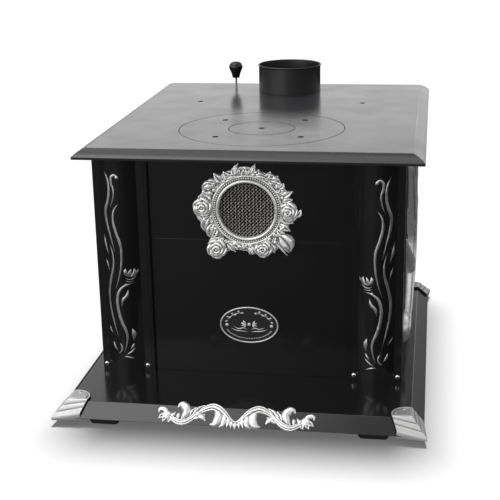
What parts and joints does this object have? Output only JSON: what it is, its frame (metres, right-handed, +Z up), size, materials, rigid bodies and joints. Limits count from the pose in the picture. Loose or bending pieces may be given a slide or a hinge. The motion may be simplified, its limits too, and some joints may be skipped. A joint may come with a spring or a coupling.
{
  "type": "diesel heater",
  "caption": "Black enamelled diesel stove with a lift-off cook lid, a flue collar, a fuel knob, silver cast ornaments, a round grille window and a wide base tray.",
  "frame": {"origin": "on the floor, under the middle of the whole stove's outline", "axes": "+X to the right of a person who faces the front, +Y from the front to the back, +Z up"},
  "size_m": [0.588, 0.81, 0.468],
  "materials": {
    "enamel": "glossy black vitreous enamel",
    "silver_casting": "bright satin casting",
    "grey_casting": "brushed grey casting",
    "grille_wire": "dulled by heat",
    "mica": "clear heat-proof sheet",
    "inner_sheet": "plain steel sheet",
    "iron": "rough iron",
    "foot_iron": "painted black",
    "knob_black": "glossy",
    "rod_steel": "plain turned steel",
    "valve_alloy": "plain die casting",
    "brass": "plain brass",
    "screw_steel": "bright plated"
  },
  "bodies": {
    "casing": {"base_tray": "enamel", "column_left": "enamel", "column_right": "enamel", "front_sheet_upper": "enamel", "front_sheet_lower": "enamel", "side_panel_left": "enamel", "side_panel_right": "enamel", "rear_panel": "enamel", "top_plate": "enamel", "flue_collar": "enamel", "guard_front_left": "silver_casting", "guard_front_right": "silver_casting", "guard_rear_left": "silver_casting", "guard_rear_right": "silver_casting", "front_scroll": "silver_casting", "window_frame": "silver_casting", "nameplate": "silver_casting", "column_ornament_left": "grey_casting", "column_ornament_right": "grey_casting", "side_relief_left": "grey_casting", "side_relief_right": "grey_casting", "window_grille": "grille_wire", "window_pane": "mica", "body_floor": "inner_sheet", "window_clamp": "inner_sheet", "sight_tube": "inner_sheet", "lid_seat": "inner_sheet", "flue_duct": "inner_sheet", "heat_shield": "inner_sheet", "valve_bracket": "inner_sheet", "drum_legs": "inner_sheet", "drum_floor": "inner_sheet", "fire_drum": "inner_sheet", "burner_pot": "iron", "flame_ring": "iron", "lower_ring": "iron", "feet": "foot_iron", "valve_body": "valve_alloy", "valve_cover": "valve_alloy", "fuel_pipe": "brass", "inlet_spigot": "brass", "guard_screws": "screw_steel", "column_screws": "screw_steel", "rear_screws": "screw_steel"},
    "lid_ring": {"lid_ring": "enamel"},
    "lid_disc": {"lid_disc": "enamel"},
    "fuel_control": {"control_rod": "rod_steel", "control_knob": "knob_black"},
    "metering": {"metering_stem": "rod_steel"}
  },
  "joints": [
    {"name": "lid_ring_lift", "type": "slide", "parent": "casing", "child": "lid_ring", "axis": [0, 0, 1], "range_m": [0, 0.12]},
    {"name": "lid_disc_lift", "type": "slide", "parent": "lid_ring", "child": "lid_disc", "axis": [0, 0, 1], "range_m": [0, 0.12]},
    {"name": "knob_turn", "type": "hinge", "parent": "casing", "child": "fuel_control", "pos_m": [-0.115, 0.337, 0.415], "axis": [0, 0, 1], "range_deg": [0, 270]},
    {"name": "stem_rise", "type": "slide", "parent": "casing", "child": "metering", "axis": [0, 0, 1], "range_m": [0, 0.003]}
  ],
  "couplings": [
    {"joint": "stem_rise", "follows": "knob_turn", "m_per_rad": 0.0006366}
  ]
}
